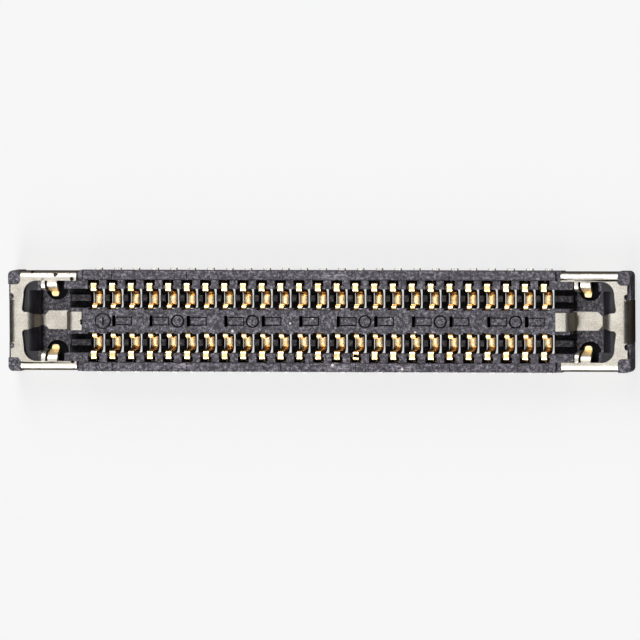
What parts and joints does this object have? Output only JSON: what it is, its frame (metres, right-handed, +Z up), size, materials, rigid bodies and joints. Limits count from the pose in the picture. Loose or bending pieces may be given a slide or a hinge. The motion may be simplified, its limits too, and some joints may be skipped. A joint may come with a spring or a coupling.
{
  "type": "fpc connector",
  "caption": "Low-profile surface-mount board-to-FPC receptacle: moulded housing, two rows of formed contacts, a metal fitting round each end.",
  "frame": {"origin": "centre of the solder plane, on the board's surface", "axes": "+X along the contact rows, +Y across them, +Z up from the board towards the plug"},
  "size_m": [0.0116, 0.002, 0.0006],
  "materials": {
    "housing_lcp": "moulded black liquid-crystal polymer",
    "contact_gold": "gold-plated copper alloy strip",
    "fitting_nickel": "nickel-plated rolled sheet"
  },
  "bodies": {
    "root": {"housing": "housing_lcp", "end_fitting_left": "fitting_nickel", "end_fitting_right": "fitting_nickel", "contact_a01": "contact_gold", "contact_a02": "contact_gold", "contact_a03": "contact_gold", "contact_a04": "contact_gold", "contact_a05": "contact_gold", "contact_a06": "contact_gold", "contact_a07": "contact_gold", "contact_a08": "contact_gold", "contact_a09": "contact_gold", "contact_a10": "contact_gold", "contact_a11": "contact_gold", "contact_a12": "contact_gold", "contact_a13": "contact_gold", "contact_a14": "contact_gold", "contact_a15": "contact_gold", "contact_a16": "contact_gold", "contact_a17": "contact_gold", "contact_a18": "contact_gold", "contact_a19": "contact_gold", "contact_a20": "contact_gold", "contact_a21": "contact_gold", "contact_a22": "contact_gold", "contact_a23": "contact_gold", "contact_a24": "contact_gold", "contact_a25": "contact_gold", "contact_b01": "contact_gold", "contact_b02": "contact_gold", "contact_b03": "contact_gold", "contact_b04": "contact_gold", "contact_b05": "contact_gold", "contact_b06": "contact_gold", "contact_b07": "contact_gold", "contact_b08": "contact_gold", "contact_b09": "contact_gold", "contact_b10": "contact_gold", "contact_b11": "contact_gold", "contact_b12": "contact_gold", "contact_b13": "contact_gold", "contact_b14": "contact_gold", "contact_b15": "contact_gold", "contact_b16": "contact_gold", "contact_b17": "contact_gold", "contact_b18": "contact_gold", "contact_b19": "contact_gold", "contact_b20": "contact_gold", "contact_b21": "contact_gold", "contact_b22": "contact_gold", "contact_b23": "contact_gold", "contact_b24": "contact_gold", "contact_b25": "contact_gold"}
  },
  "joints": []
}
